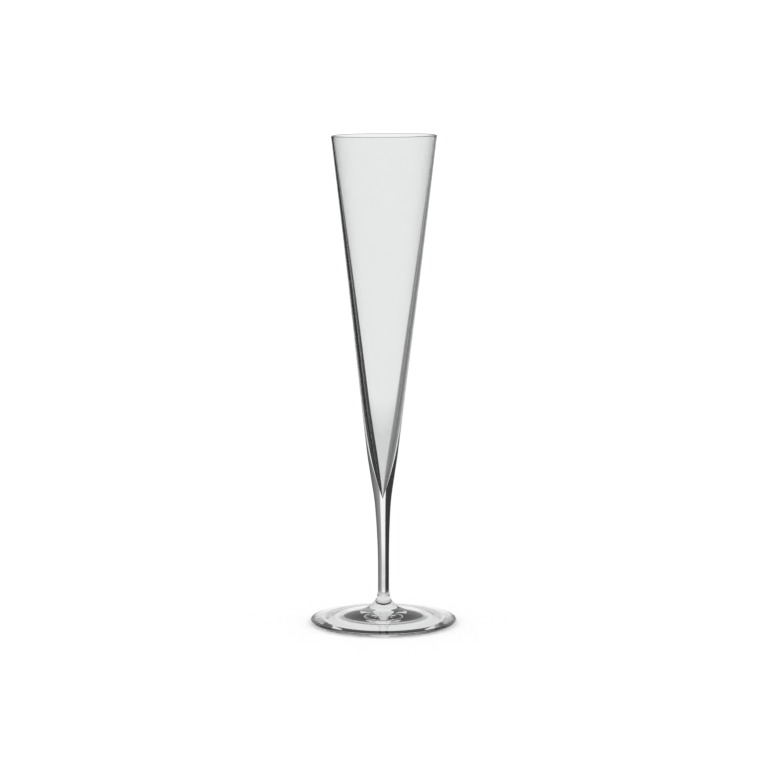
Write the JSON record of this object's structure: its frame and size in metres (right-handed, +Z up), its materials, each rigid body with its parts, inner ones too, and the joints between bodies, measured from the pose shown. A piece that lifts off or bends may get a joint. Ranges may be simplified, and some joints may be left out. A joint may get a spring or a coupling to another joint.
{
  "type": "champagne flute",
  "caption": "Clear stemmed drinking glass with a slim conical bowl, a thick solid base drawn into a short plain stem, and a round disc foot.",
  "frame": {"origin": "centre of the foot, on the plane that the glass stands on", "axes": "+Z up along the glass's axis, from the foot to the rim; the glass is round, so X and Y are alike"},
  "size_m": [0.072, 0.072, 0.2406],
  "materials": {
    "crystal_glass": "clear, fire polished"
  },
  "bodies": {
    "root": {"bowl": "crystal_glass", "stem": "crystal_glass", "foot": "crystal_glass"}
  },
  "joints": []
}
